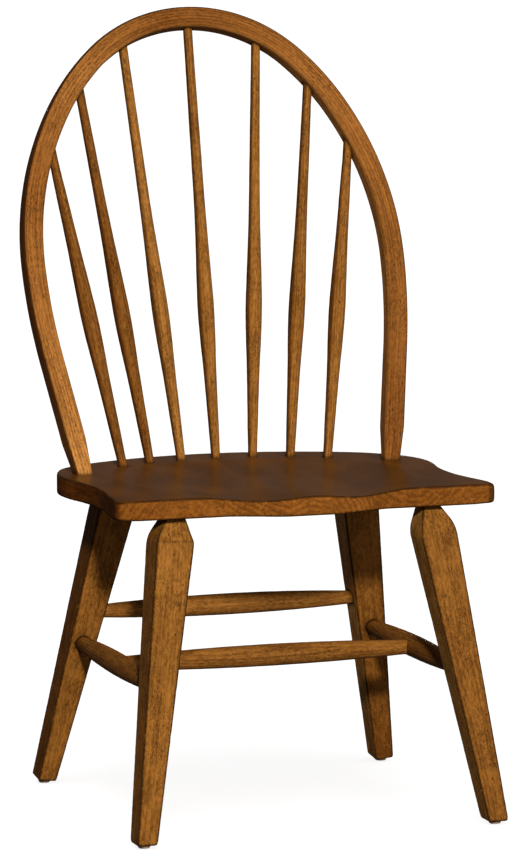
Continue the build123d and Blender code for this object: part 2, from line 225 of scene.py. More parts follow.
class ChairSizes(bpy.types.PropertyGroup):
    """How finely the pieces are made, and how far the hand and the years marked them."""

    seat_step: FloatProperty(
        name="Seat Step", description="Spacing of the seat's points",
        default=0.002, min=0.001, unit="LENGTH",
    )
    leg_step: FloatProperty(
        name="Leg Step", description="Spacing of the legs' points",
        default=0.0014, min=0.001, unit="LENGTH",
    )
    stick_step: FloatProperty(
        name="Stick Step", description="Spacing along the bow and the turned sticks",
        default=0.002, min=0.001, unit="LENGTH",
    )
    ring_points: IntProperty(
        name="Ring Points", description="Points round a turned stick", default=36, min=12,
    )
    dent_depth: FloatProperty(
        name="Dent Depth", description="How deep the knocks on the arrises go",
        default=0.0006, min=0.0, unit="LENGTH",
    )
    ripple: FloatProperty(
        name="Ripple", description="How far the tool left flat faces uneven",
        default=0.00012, min=0.0, unit="LENGTH",
    )
    stick_bend: FloatProperty(
        name="Stick Bend", description="How far a turned stick bends off its axis",
        default=0.0009, min=0.0, unit="LENGTH",
    )


class ChairFinish(bpy.types.PropertyGroup):
    """The stain, the grain under it and the lacquer over it."""

    stain: FloatVectorProperty(
        name="Stain", description="Colour of the pale wood between the rings",
        default=(0.290, 0.110, 0.0155), **COLOUR,
    )
    stain_dark: FloatVectorProperty(
        name="Dark Stain", description="Colour of the rings",
        default=(0.140, 0.050, 0.0066), **COLOUR,
    )
    pore: FloatVectorProperty(
        name="Pores", description="Colour of the pores and the worn arrises",
        default=(0.026, 0.0095, 0.002), **COLOUR,
    )
    seat_top: FloatVectorProperty(
        name="Seat Top", description="What the second coat leaves of the colour on the seat's top",
        default=(0.41, 0.38, 0.38), **COLOUR,
    )
    roughness: FloatProperty(
        name="Roughness", description="Roughness of the wood", default=0.58, min=0.0, max=1.0,
    )
    seat_roughness: FloatProperty(
        name="Seat Roughness", description="Roughness of the seat's top",
        default=0.32, min=0.0, max=1.0,
    )
    gloss: FloatProperty(
        name="Gloss", description="How much the lacquer reflects", default=0.07, min=0.0, max=1.0,
    )
    pad: FloatVectorProperty(
        name="Pads", description="Colour of the foot pads",
        default=(0.40, 0.28, 0.19), **COLOUR,
    )


class ChairStudio(bpy.types.PropertyGroup):
    """The lights and the camera."""

    key_azimuth: FloatProperty(
        name="Key Azimuth", description="Where the key light comes from, from -Y towards +X",
        subtype="ANGLE", default=radians(-12.5),
    )
    key_elevation: FloatProperty(
        name="Key Elevation", description="How high the key light stands",
        subtype="ANGLE", default=radians(25.4),
    )
    key_strength: FloatProperty(
        name="Key Strength", description="Strength of the key light", default=4.8, min=0.0,
    )
    key_softness: FloatProperty(
        name="Key Softness", description="Angle that the key light fills",
        subtype="ANGLE", default=radians(4.0),
    )
    fill_strength: FloatProperty(
        name="Fill Strength", description="Strength of the weak light from the front right",
        default=1.0, min=0.0,
    )
    back_strength: FloatProperty(
        name="Back Strength", description="Strength of the light from straight behind",
        default=4.4, min=0.0,
    )
    around_strength: FloatProperty(
        name="Light Around", description="Light from all round", default=0.11, min=0.0,
    )
    mirror_strength: FloatProperty(
        name="Mirrored Light", description="What gloss reflects of the studio round the chair",
        default=0.09, min=0.0,
    )
    floor_strength: FloatProperty(
        name="Floor Strength", description="Light on the floor only", default=0.55, min=0.0,
    )
    camera_place: FloatVectorProperty(
        name="Camera", description="Where the camera stands",
        subtype="TRANSLATION", size=3, default=(-2.347, -6.94727, 1.518),
    )
    camera_azimuth: FloatProperty(
        name="Camera Azimuth", description="Where the camera looks from, from -Y towards +X",
        subtype="ANGLE", default=radians(-18.76),
    )
    camera_elevation: FloatProperty(
        name="Camera Elevation", description="How steeply the camera looks down",
        subtype="ANGLE", default=radians(7.86),
    )
    camera_roll: FloatProperty(
        name="Camera Roll", description="Small turn of the camera about its axis",
        subtype="ANGLE", default=0.0012,
    )
    lens: FloatProperty(
        name="Lens", description="Focal length on a 36 mm frame", default=230.1, min=1.0,
        subtype="DISTANCE_CAMERA",
    )


# ---- where things are


def mirrored(point):
    """The same point on the left."""
    return Vector((-point.x, point.y, point.z))


def on_seat(across, back):
    """Point on the seat's flat top, that far across and back from the front feet."""
    return Vector((
        across,
        FRONT_ROW_Y + back * cos(SEAT_PITCH),
        SEAT_HEIGHT - back * sin(SEAT_PITCH),
    ))


def leg_line(foot):
    """Floor point and axis of a right-hand leg; the axis rises one unit in height."""
    across, back, splay, rake = foot
    return Vector((across, FRONT_ROW_Y + back, 0)), Vector((-tan(splay), tan(rake), 1))


def bow_half(steps=40):
    """Flat points of the right half of the bow's centre line, from its tenon to its crown."""
    heading = BOW_FLARE
    way = Vector((sin(heading), cos(heading)))
    point = Vector((BOW_FOOT_X, 0.0))
    points = [point - way * BOW_TENON, point, point + way * BOW_TAPER]
    point = point + way * BOW_LIMB
    points.append(point.copy())
    left = pi / 2 + BOW_FLARE - sum(radians(turn) for _, turn in BOW_ARCS)
    arcs = [(radius, radians(turn)) for radius, turn in BOW_ARCS] + [(None, left)]
    for radius, turn in arcs:
        if radius is None:
            radius = point.x / sin(turn)
        side = Vector((cos(heading), -sin(heading)))
        centre = point - side * radius
        for step in range(1, steps + 1):
            angle = heading - turn * step / steps
            points.append(centre + Vector((cos(angle), -sin(angle))) * radius)
        heading = heading - turn
        point = points[-1]
    return points


def from_bow(flat):
    """Point of the bow's leaning plane, in the frame."""
    origin = on_seat(0, BOW_BACK)
    return origin + Vector((flat.x, flat.y * sin(BOW_LEAN), flat.y * cos(BOW_LEAN)))


def bow_line():
    """Points of the whole centre line, from the left tenon to the right one."""
    right = bow_half()
    left = [Vector((-flat.x, flat.y)) for flat in right[:-1]]
    return [from_bow(flat) for flat in left + right[::-1]]


def spindle_ends(number):
    """Foot and head of a spindle; the number counts from the middle, right positive."""
    turn = ARC_STEP * number
    foot = on_seat(ARC_RADIUS * sin(turn), ARC_BACK - ARC_RADIUS * (1 - cos(turn)))
    run = HEAD_RUNS[abs(number)]
    points = bow_half()[::-1]
    for start, end in zip(points, points[1:]):
        piece = (end - start).length
        if run <= piece:
            flat = start + (end - start) * (run / piece)
            break
        run = run - piece
    flat = Vector((flat.x if number >= 0 else -flat.x, flat.y))
    return foot, from_bow(flat)


# ---- meshes as arrays


def read(items, name, columns, kind=np.float32):
    """One property of all the items, as an array with that many columns."""
    out = np.empty(len(items) * columns, dtype=kind)
    items.foreach_get(name, out)
    return out.reshape(-1, columns)


def points_of(mesh):
    """The mesh's vertices as an array."""
    return read(mesh.vertices, "co", 3).astype(np.float64)


def put_points(mesh, points):
    """Moves the mesh's vertices to those of the array."""
    mesh.vertices.foreach_set("co", points.astype(np.float32).ravel())
    mesh.update()


def normals_of(mesh):
    """The mesh's vertex normals as an array."""
    return read(mesh.vertices, "normal", 3).astype(np.float64)


def edges_of(mesh):
    """The mesh's edges as an array of two vertex numbers each."""
    return read(mesh.edges, "vertices", 2, np.int32)


def along_rows(first, second):
    """How far each row reaches along the other's."""
    return (first * second).sum(axis=1)


def flat_gap(points, place):
    """How far each point is from a place, seen from above."""
    return np.linalg.norm((points - place)[:, :2], axis=1)


def smooth_step(low, high, values):
    """Eased rise from 0 at low to 1 at high."""
    share = np.clip((values - low) / (high - low), 0.0, 1.0)
    return share * share * (3 - 2 * share)


def spread(values, edges, rounds):
    """The values, each averaged with its neighbours', that many times."""
    count = np.bincount(edges.ravel(), minlength=len(values)).astype(np.float64)
    count[count == 0] = 1
    for _ in range(rounds):
        if values.ndim == 1:
            total = np.bincount(edges[:, 0], values[edges[:, 1]], len(values))
            total += np.bincount(edges[:, 1], values[edges[:, 0]], len(values))
            values = 0.5 * values + 0.5 * total / count
        else:
            columns = [spread(values[:, axis], edges, 1) for axis in range(values.shape[1])]
            values = np.stack(columns, axis=1)
    return values


def convexity(mesh):
    """How sharply the surface turns outwards at each vertex, in turns per metre."""
    points, normals, edges = points_of(mesh), normals_of(mesh), edges_of(mesh)
    along = points[edges[:, 1]] - points[edges[:, 0]]
    turned = normals[edges[:, 1]] - normals[edges[:, 0]]
    bend = along_rows(along, turned) / np.maximum(along_rows(along, along), 1e-12)
    total = np.bincount(edges.ravel(), np.repeat(bend, 2), len(points))
    count = np.maximum(np.bincount(edges.ravel(), minlength=len(points)), 1)
    return spread(total / count, edges, 1)


def noise_at(points, scale, shift=0.0):
    """Smooth noise between -1 and 1 at each point, with that many lumps per metre."""
    scale = np.broadcast_to(np.asarray(scale, dtype=np.float64), (3,))
    moved = points * scale + shift
    return np.array([noise.noise(Vector(place)) for place in moved])


def keep(mesh, name, values):
    """Stores one value per vertex under that name."""
    values = np.asarray(values, dtype=np.float32)
    kind = "FLOAT_VECTOR" if values.ndim == 2 else "FLOAT"
    if name in mesh.attributes:
        mesh.attributes.remove(mesh.attributes[name])
    layer = mesh.attributes.new(name, kind, "POINT")
    layer.data.foreach_set("vector" if values.ndim == 2 else "value", values.ravel())


def frame_mesh(node):
    """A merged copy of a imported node's mesh, in the frame."""
    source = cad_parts[node]
    work = bmesh.new()
    work.from_mesh(source.data)
    work.transform(source.matrix_world)
    bmesh.ops.remove_doubles(work, verts=work.verts, dist=SAME_POINT)
    return work


def fresh(name, data):
    """A new object in the scene with that mesh, lamp or camera."""
    made = bpy.data.objects.new(name, data)
    bpy.context.scene.collection.objects.link(made)
    return made


def evaluated(made):
    """The object's mesh after its modifiers, as a mesh of its own."""
    graph = bpy.context.evaluated_depsgraph_get()
    graph.update()
    return bpy.data.meshes.new_from_object(made.evaluated_get(graph))


def remeshed(work, step):
    """The bmesh made over into even quads of that size."""
    mesh = bpy.data.meshes.new("rough")
    work.to_mesh(mesh)
    work.free()
    made = fresh("rough", mesh)
    change = made.modifiers.new("even", "REMESH")
    change.mode = "VOXEL"
    change.voxel_size = step
    change.adaptivity = 0.0
    result = evaluated(made)
    bpy.data.objects.remove(made)
    if not result.polygons:
        raise RuntimeError("remeshing left nothing")
    return result


trees = {}


def tree_of(group):
    """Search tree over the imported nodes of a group."""
    if group not in trees:
        points, faces, base = [], [], 0
        for node in GROUPS[group]:
            work = frame_mesh(node)
            bmesh.ops.triangulate(work, faces=work.faces)
            work.verts.index_update()
            points.extend(vert.co.copy() for vert in work.verts)
            faces.extend([base + vert.index for vert in face.verts] for face in work.faces)
            base = len(points)
            work.free()
        trees[group] = BVHTree.FromPolygons(points, faces)
    return trees[group]


def closeness(points, group, reach):
    """How near each point is to other groups' pieces: 1 where it touches, 0 past the reach."""
    near = np.zeros(len(points))
    for other in GROUPS:
        if other == group or {group, other} == {"bow", "legs"}:
            continue
        tree = tree_of(other)
        for index, place in enumerate(points):
            found = tree.find_nearest(place, reach)
            if found[0] is not None:
                near[index] = max(near[index], 1 - found[3] / reach)
    return near


def dress(made, node, group, origin, along, side, pith, shift, tones_and_shade=None):
    """Gives a wooden piece what its material reads at each point: the place in its log, its tone
    with painted shading on its left faces and at its foot, its arrises, and where it meets other
    pieces."""
    mesh = made.data
    points, normals = points_of(mesh), normals_of(mesh)
    along = along.normalized()
    side = (side - along * side.dot(along)).normalized()
    third = along.cross(side)
    axes = np.array([side, third, along]).T
    local = (points - np.array(origin)) @ axes
    keep(mesh, "grain", local + np.array([pith[0], pith[1], shift]))
    if tones_and_shade is None:
        tones_and_shade = np.full(len(points), TONES[group][GROUPS[group].index(node)])
    # Painted shading: faces that look to the left are made darker or lighter, as the light falls
    # on them.
    left = smooth_step(0.6, 0.9, -normals[:, 0])
    tones_and_shade = tones_and_shade * (1 + (LEFT_FACE_PAINTED_SHADING.get(node, 0.8) - 1) * left)
    # Painted shade: a leg darkens towards its foot, where less light falls.
    foot = 1 - np.clip(points[:, 2] / FOOT_SHADE_HEIGHT, 0, 1)
    keep(mesh, "tone_and_shade", tones_and_shade * (1 + (FOOT_PAINTED_SHADE.get(node, 1.0) - 1) * foot))
    if "arris" not in mesh.attributes:
        keep(mesh, "arris", smooth_step(*SHARP, convexity(mesh)))
    keep(mesh, "glaze", closeness(points, group, GLAZE_REACH) ** 1.5)
    keep(mesh, "endgrain", smooth_step(0.75, 0.95, np.abs(normals @ np.array(along))))
    for face in mesh.polygons:
        face.use_smooth = True
    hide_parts(node)
    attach(made, "root")


def wear(mesh, sizes, seed):
    """Knocks the arrises and leaves the faces a little uneven."""
    points, normals = points_of(mesh), normals_of(mesh)
    sharp = smooth_step(60, 190, convexity(mesh))
    knocks = np.clip(noise_at(points, KNOCKS, seed) - 0.12, 0, None)
    knocks = knocks * (0.4 + np.clip(noise_at(points, KNOCK_CROWDS, seed + 5), 0, None) * 1.6)
    waves = noise_at(points, TOOL_MARKS, seed + 11)
    depth = sizes.dent_depth * 2.2 * knocks * sharp + sizes.ripple * waves
    put_points(mesh, points - normals * depth[:, None])


# ---- materials


def put_inputs(tree, node, inputs):
    """Sets or links the inputs of a node."""
    for name, value in inputs.items():
        socket = node.inputs[name]
        if isinstance(value, bpy.types.NodeSocket):
            tree.links.new(value, socket)
        else:
            socket.default_value = value


def add_node(tree, kind, inputs=None, **choices):
    """A node of that kind with its choices made and its inputs set or linked."""
    made = tree.nodes.new(kind)
    for name, value in choices.items():
        setattr(made, name, value)
    put_inputs(tree, made, inputs or {})
    return made


def signal(tree, kind, inputs=None, which=0, **choices):
    """What comes out of such a node."""
    return add_node(tree, kind, inputs, **choices).outputs[which]


def calc(tree, operation, first, second=0.0, clamp=False):
    """The result of a maths node."""
    return signal(
        tree, "ShaderNodeMath", {0: first, 1: second}, operation=operation, use_clamp=clamp,
    )


def times(tree, first, second):
    """One value times another."""
    return calc(tree, "MULTIPLY", first, second)


def plus(tree, first, second):
    """One value plus another."""
    return calc(tree, "ADD", first, second)


def vector_calc(tree, operation, first, second=(0.0, 0.0, 0.0)):
    """The result of a vector maths node."""
    return signal(
        tree, "ShaderNodeVectorMath",
        {0: first, "Scale" if operation == "SCALE" else 1: second},
        "Value" if operation in ("LENGTH", "DISTANCE") else "Vector", operation=operation,
    )


def rise(tree, value, low, high, to_low=0.0, to_high=1.0):
    """A value eased from one range to another."""
    return signal(
        tree, "ShaderNodeMapRange", {0: value, 1: low, 2: high, 3: to_low, 4: to_high},
        interpolation_type="SMOOTHSTEP",
    )


def blend(tree, share, first, second, kind="MIX"):
    """Two colours mixed."""
    return signal(
        tree, "ShaderNodeMix", {0: share, 6: first, 7: second}, 2,
        data_type="RGBA", blend_type=kind,
    )


def lumps(tree, vector, scale, detail=2.0, roughness=0.5):
    """Noise with that many lumps per metre on each axis."""
    return signal(tree, "ShaderNodeTexNoise", {
        "Vector": vector_calc(tree, "MULTIPLY", vector, scale), "Scale": 1.0,
        "Detail": detail, "Roughness": roughness,
    })


def figure(tree, grain, name, *limits):
    """One of the noises of the wood, eased between those values."""
    return rise(tree, lumps(tree, grain, *LOG_NOISE[name]), *limits)


def value_of(tree, name):
    """A stored value of the piece."""
    return signal(tree, "ShaderNodeAttribute", which="Fac", attribute_name=name)


def solid(colour):
    """A colour with its alpha."""
    return (*colour, 1.0)


def year_rings(tree, grain, pitch, wave):
    """Year rings round the pith, bent by slow noise, that fade in places."""
    parts = add_node(tree, "ShaderNodeSeparateXYZ", {0: grain}).outputs
    flat = signal(tree, "ShaderNodeCombineXYZ", {0: parts[0], 1: parts[1], 2: 0.0})
    radius = vector_calc(tree, "LENGTH", flat)
    bends = lumps(tree, grain, *LOG_NOISE["bends"])
    radius = plus(tree, radius, times(tree, bends, wave))
    year = calc(tree, "FRACT", calc(tree, "DIVIDE", radius, pitch))
    late = times(tree, rise(tree, year, 0.15, 0.86), rise(tree, year, 1.0, 0.93))
    return times(tree, late, figure(tree, grain, "fading", 0.3, 0.7, 0.3))


def pores_of(tree, grain, late, end):
    """Long pores and dots, crowded in places and in the rings, and few on end grain."""
    long_ones = figure(tree, grain, "pores", 0.60, 0.66)
    dots = figure(tree, grain, "dots", 0.62, 0.68)
    crowd = figure(tree, grain, "crowds", 0.38, 0.64, 0.25, 1.0)
    crowd = times(tree, crowd, rise(tree, end, 0.0, 1.0, 1.0, 0.35))
    crowd = plus(tree, crowd, times(tree, late, 0.2))
    return calc(tree, "MULTIPLY", calc(tree, "MAXIMUM", long_ones, dots), crowd, clamp=True)


def specks(tree, grain):
    """Sparse dark specks and dents."""
    cells = add_node(
        tree, "ShaderNodeTexVoronoi",
        {"Vector": vector_calc(tree, "MULTIPLY", grain, (95, 95, 60)), "Scale": 1.0},
    ).outputs
    chosen = signal(tree, "ShaderNodeSeparateColor", {0: cells["Color"]})
    speck = rise(tree, cells["Distance"], 0.15, 0.06)
    return times(tree, speck, rise(tree, chosen, 0.80, 0.86))


def second_coat(tree, grain, colour, finish):
    """The top of the seat: a darker coat that hides most of the figure, in slow shades."""
    even = blend(tree, 0.5, solid(finish.stain), solid(finish.stain_dark))
    coated = blend(tree, 0.85, colour, even)
    coated = blend(tree, 1.0, coated, solid(finish.seat_top), "MULTIPLY")
    shade = figure(tree, grain, "shades", 0.35, 0.65, 0.82, 1.2)
    shade = signal(tree, "ShaderNodeCombineColor", {0: shade, 1: shade, 2: shade})
    return blend(tree, 1.0, coated, shade, "MULTIPLY")


def wood(name, finish, seat=False):
    """Stained wood that follows each piece's own log."""
    strength, pitch, wave, clouds, mottle, tint = LOOKS[name]
    made = bpy.data.materials.new(name)
    made.use_nodes = True
    tree = made.node_tree
    tree.nodes.clear()
    black = solid(finish.pore)
    grain = signal(tree, "ShaderNodeAttribute", which="Vector", attribute_name="grain")
    end = value_of(tree, "endgrain")
    late = year_rings(tree, grain, pitch, wave)
    fibre = figure(tree, grain, "fibres", 0.36, 0.64)
    pores = pores_of(tree, grain, late, end)

    # How far the dark stain covers the pale one.
    strength = plus(tree, times(tree, end, 0.15), strength)
    share = times(tree, late, times(tree, strength, 0.8))
    share = plus(tree, share, times(tree, fibre, 0.34))
    for part, pale_at, dark_at, least, most in (
        ("clouds", 0.66, 0.34, -0.25 * clouds, 0.55 * clouds),
        ("patches", 0.60, 0.40, -0.4 * mottle, 0.7 * mottle),
        ("streaks", 0.60, 0.38, 0.0, 0.28),
    ):
        share = plus(tree, share, figure(tree, grain, part, pale_at, dark_at, least, most))
    colour = blend(tree, share, solid(finish.stain), solid(finish.stain_dark))
    colour = blend(tree, 1.0, colour, solid(tint), "MULTIPLY")
    colour = blend(tree, times(tree, pores, 0.60), colour, black)
    colour = blend(tree, times(tree, specks(tree, grain), 0.8), colour, black)

    # A lighter piece is also a yellower one.
    # The tone also carries the painted shading of the left faces, of the feet and along the bow.
    tone_and_shade = value_of(tree, "tone_and_shade")
    toned = signal(
        tree, "ShaderNodeCombineColor",
        {0: tone_and_shade, 1: calc(tree, "POWER", tone_and_shade, 1.25), 2: calc(tree, "POWER", tone_and_shade, 1.6)},
    )
    colour = blend(tree, 1.0, colour, toned, "MULTIPLY")

    # Glaze darkens the joints, the worn arrises and the end grain; on the bow the arris value also
    # holds painted shade, darker on its outer arrises.
    broken = figure(tree, grain, "breaks", 0.3, 0.5, 0.7, 1.0)
    worn = times(tree, times(tree, value_of(tree, "arris"), broken), 0.97)
    dark = times(tree, value_of(tree, "glaze"), 0.85)
    for other in (worn, times(tree, end, 0.12)):
        dark = calc(tree, "MAXIMUM", dark, other)
    height = plus(tree, times(tree, pores, -0.6), times(tree, fibre, 0.25))
    if seat:
        top = value_of(tree, "top")
        colour = blend(tree, top, colour, second_coat(tree, grain, colour, finish))
        seam = rise(tree, value_of(tree, "seam"), 0.0004, 0.0001)
        seam = times(tree, seam, rise(tree, top, 0.0, 1.0, 0.25, 0.08))
        dark = calc(tree, "MAXIMUM", dark, seam)
        rough = times(tree, top, finish.seat_roughness - SEAT_SIDE_ROUGHNESS)
        rough = plus(tree, rough, SEAT_SIDE_ROUGHNESS)
        height = times(tree, height, rise(tree, top, 0.0, 1.0, 1.0, 0.0))
    else:
        rough = plus(tree, finish.roughness, rise(tree, fibre, 0.0, 1.0, -0.04, 0.05))
    colour = blend(tree, dark, colour, black)
    bump = signal(
        tree, "ShaderNodeBump", {"Strength": 0.3, "Distance": 0.00025, "Height": height},
    )
    shader = signal(tree, "ShaderNodeBsdfPrincipled", {
        "Base Color": colour, "Roughness": rough, "Normal": bump, "IOR": 1.45,
        "Specular IOR Level": finish.gloss * (SEAT_GLOSS if seat else 1.0),
    })
    add_node(tree, "ShaderNodeOutputMaterial", {0: shader})
    return made


def matt(name, colour, roughness):
    """A plain matt material with faint unevenness."""
    made = bpy.data.materials.new(name)
    made.use_nodes = True
    tree = made.node_tree
    shader = tree.nodes["Principled BSDF"]
    place = signal(tree, "ShaderNodeTexCoord", which="Object")
    patch = rise(tree, lumps(tree, place, (300, 300, 300)), 0.3, 0.7)
    paler = solid([min(1.0, part * 1.15) for part in colour])
    darker = solid([part * 0.85 for part in colour])
    put_inputs(tree, shader, {
        "Base Color": blend(tree, patch, darker, paler), "Roughness": roughness,
    })
    return made


def material_for(name, finish, **more):
    """The named wood, made once."""
    return bpy.data.materials.get(name) or wood(name, finish, **more)


# ---- geometry nodes


def new_group(name, sockets):
    """An empty geometry node group with the named inputs, and its two end nodes."""
    tree = bpy.data.node_groups.new(name, "GeometryNodeTree")
    tree.is_modifier = True
    tree.interface.new_socket("Geometry", in_out="INPUT", socket_type="NodeSocketGeometry")
    tree.interface.new_socket("Geometry", in_out="OUTPUT", socket_type="NodeSocketGeometry")
    for label, kind, default in sockets:
        made = tree.interface.new_socket(label, in_out="INPUT", socket_type=f"NodeSocket{kind}")
        if default is not None:
            made.default_value = default
    return tree, tree.nodes.new("NodeGroupInput"), tree.nodes.new("NodeGroupOutput")


def finish_group(tree, given, result, mesh):
    """Ends a group: smooth shading, one real mesh, and its material."""
    smooth = signal(tree, "GeometryNodeSetShadeSmooth", {"Geometry": mesh})
    real = signal(tree, "GeometryNodeRealizeInstances", {"Geometry": smooth})
    paint = signal(
        tree, "GeometryNodeSetMaterial",
        {"Geometry": real, "Material": given.outputs["Material"]},
    )
    put_inputs(tree, result, {0: paint})


def displaced(tree, geometry, offset):
    """The geometry with its points moved."""
    return signal(tree, "GeometryNodeSetPosition", {"Geometry": geometry, "Offset": offset})


def stick_group(name, radius_of):
    """A group that turns a stick between two points, with a small bend and a soft ripple.
    radius_of draws the radius from the distance along the stick."""
    tree, given, result = new_group(name, (
        ("Start", "Vector", None),
        ("End", "Vector", None),
        ("Middle Radius", "Float", 0.015),
        ("End Radius", "Float", 0.01),
        ("Grip", "Float", 0.02),
        ("Points Along", "Int", 200),
        ("Points Round", "Int", 36),
        ("Bend", "Float", 0.0),
        ("Ripple", "Float", 0.0),
        ("Seed", "Float", 0.0),
        ("Material", "Material", None),
    ))
    want = given.outputs
    line = signal(
        tree, "GeometryNodeCurvePrimitiveLine", {"Start": want["Start"], "End": want["End"]},
    )
    fine = signal(
        tree, "GeometryNodeResampleCurve", {"Curve": line, "Count": want["Points Along"]},
    )
    span = vector_calc(tree, "DISTANCE", want["Start"], want["End"])
    along = add_node(tree, "GeometryNodeSplineParameter").outputs
    # The bend is widest in the middle and nothing at the two ends.
    arch = calc(tree, "SINE", times(tree, along["Factor"], pi))
    seeded = signal(
        tree, "ShaderNodeCombineXYZ",
        {0: want["Seed"], 1: times(tree, along["Factor"], 1.3), 2: 0.5},
    )
    drift = signal(
        tree, "ShaderNodeTexNoise", {"Vector": seeded, "Scale": 1.0, "Detail": 1.0}, "Color",
    )
    drift = vector_calc(tree, "SUBTRACT", drift, (0.5, 0.5, 0.5))
    size = times(tree, arch, times(tree, want["Bend"], NOISE_SWING))
    drift = vector_calc(tree, "SCALE", drift, size)
    drift = vector_calc(tree, "MULTIPLY", drift, BEND_WAY)
    ring = signal(
        tree, "GeometryNodeCurvePrimitiveCircle",
        {"Resolution": want["Points Round"], "Radius": 1.0},
    )
    mesh = signal(
        tree, "GeometryNodeCurveToMesh",
        {"Curve": displaced(tree, fine, drift), "Profile Curve": ring,
         "Scale": radius_of(tree, want, along["Length"], span), "Fill Caps": True},
    )
    place = signal(tree, "GeometryNodeInputPosition")
    patch = signal(
        tree, "ShaderNodeTexNoise", {"Vector": place, "Scale": 55.0, "Detail": 2.0},
    )
    lift = calc(tree, "SUBTRACT", patch, 0.5)
    lift = times(tree, lift, times(tree, want["Ripple"], NOISE_SWING))
    normal = signal(tree, "GeometryNodeInputNormal")
    outward = vector_calc(tree, "SCALE", normal, lift)
    finish_group(tree, given, result, displaced(tree, mesh, outward))
    return tree


def spindle_radius(tree, want, run, span):
    """Radius along a spindle: the turned swelling, then a straight draw to the head."""
    height = calc(tree, "SUBTRACT", run, SPINDLE_TENON)
    lathe = add_node(
        tree, "ShaderNodeFloatCurve",
        {"Value": calc(tree, "DIVIDE", height, SPINDLE_NECK_HEIGHT, clamp=True)},
    )
    curve = lathe.mapping.curves[0]
    wanted = [(at / SPINDLE_NECK_HEIGHT, size / LATHE_TOP) for at, size in SPINDLE_TURNING]
    curve.points[0].location = wanted[0]
    curve.points[1].location = wanted[-1]
    for place in wanted[1:-1]:
        curve.points.new(*place)
    lathe.mapping.update()
    drawn = signal(
        tree, "ShaderNodeMapRange",
        {0: height, 1: SPINDLE_NECK_HEIGHT,
         2: calc(tree, "SUBTRACT", span, SPINDLE_TENON + SPINDLE_GRIP),
         3: 0.0, 4: SPINDLE_END - SPINDLE_NECK},
    )
    return plus(tree, times(tree, lathe.outputs[0], LATHE_TOP), drawn)


def stretcher_radius(tree, want, run, span):
    """Radius along a stretcher: straight in the grips, and a long bow between them."""
    half = times(tree, span, 0.5)
    off = calc(tree, "ABSOLUTE", calc(tree, "SUBTRACT", run, half))
    reach = calc(tree, "SUBTRACT", half, want["Grip"])
    off = calc(tree, "DIVIDE", off, reach, clamp=True)
    drop = calc(tree, "SUBTRACT", want["Middle Radius"], want["End Radius"])
    drop = times(tree, drop, times(tree, off, off))
    return calc(tree, "SUBTRACT", want["Middle Radius"], drop)


def bow_group():
    """A group that runs a rounded square section along the bow's line and draws its feet in."""
    tree, given, result = new_group("bow_stick", (
        ("Width", "Float", BOW_WIDTH),
        ("Depth", "Float", BOW_DEPTH),
        ("Arris", "Float", BOW_ARRIS),
        ("Foot Scale", "Float", BOW_FOOT_SCALE),
        ("Tenon", "Float", BOW_TENON),
        ("Taper", "Float", BOW_TAPER),
        ("Step", "Float", 0.002),
        ("Facing", "Vector", None),
        ("Material", "Material", None),
    ))
    want = given.outputs
    line = signal(tree, "GeometryNodeMeshToCurve", {"Mesh": want["Geometry"]})
    fine = signal(
        tree, "GeometryNodeResampleCurve", {"Curve": line, "Length": want["Step"]},
        mode="LENGTH",
    )
    turned = signal(
        tree, "GeometryNodeSetCurveNormal", {"Curve": fine, "Normal": want["Facing"]},
        mode="FREE",
    )
    long = signal(tree, "GeometryNodeSplineLength", which="Length")
    run = signal(tree, "GeometryNodeSplineParameter", which="Length")
    from_end = calc(tree, "MINIMUM", run, calc(tree, "SUBTRACT", long, run))
    size = signal(
        tree, "ShaderNodeMapRange",
        {0: from_end, 1: want["Tenon"], 2: plus(tree, want["Tenon"], want["Taper"]),
         3: want["Foot Scale"], 4: 1.0},
    )
    section = signal(
        tree, "GeometryNodeCurvePrimitiveQuadrilateral",
        {"Width": want["Width"], "Height": want["Depth"]},
    )
    eased = signal(
        tree, "GeometryNodeFilletCurve",
        {"Curve": section, "Count": 5, "Radius": want["Arris"]}, mode="POLY",
    )
    evened = signal(tree, "GeometryNodeResampleCurve", {"Curve": eased, "Count": 72})
    mesh = signal(
        tree, "GeometryNodeCurveToMesh",
        {"Curve": turned, "Profile Curve": evened, "Scale": size, "Fill Caps": True},
    )
    finish_group(tree, given, result, mesh)
    return tree


def run_group(made, tree, inputs):
    """Gives an object the mesh that a node group makes of it with those named inputs."""
    change = made.modifiers.new("form", "NODES")
    change.node_group = tree
    for item in tree.interface.items_tree:
        if item.item_type == "SOCKET" and item.in_out == "INPUT" and item.name in inputs:
            change[item.identifier] = inputs[item.name]
    mesh = evaluated(made)
    made.modifiers.remove(change)
    old = made.data
    made.data = mesh
    bpy.data.meshes.remove(old)
    if not mesh.polygons:
        raise RuntimeError(f"{made.name}: the node group made nothing")
    joined = bmesh.new()
    joined.from_mesh(mesh)
    bmesh.ops.remove_doubles(joined, verts=joined.verts, dist=SAME_POINT)
    bmesh.ops.recalc_face_normals(joined, faces=joined.faces)
    joined.to_mesh(mesh)
    joined.free()
    if not mesh.materials:
        mesh.materials.append(inputs["Material"])


def stick(node, tree, start, end, radii, grip, seed, material, sizes):
    """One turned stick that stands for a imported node."""
    made = fresh(f"{node}_turned", bpy.data.meshes.new(f"{node}_turned"))
    run_group(made, tree, {
        "Start": tuple(start),
        "End": tuple(end),
        "Middle Radius": radii[1],
        "End Radius": radii[0],
        "Grip": grip,
        "Points Along": int((end - start).length / sizes.stick_step),
        "Points Round": sizes.ring_points,
        "Bend": sizes.stick_bend,
        "Ripple": sizes.ripple,
        "Seed": float(seed),
        "Material": material,
    })
    return made


# ---- operators


def settings(context):
    """What the panel says of the sizes and of the finish."""
    return context.scene.chair_sizes, context.scene.chair_finish


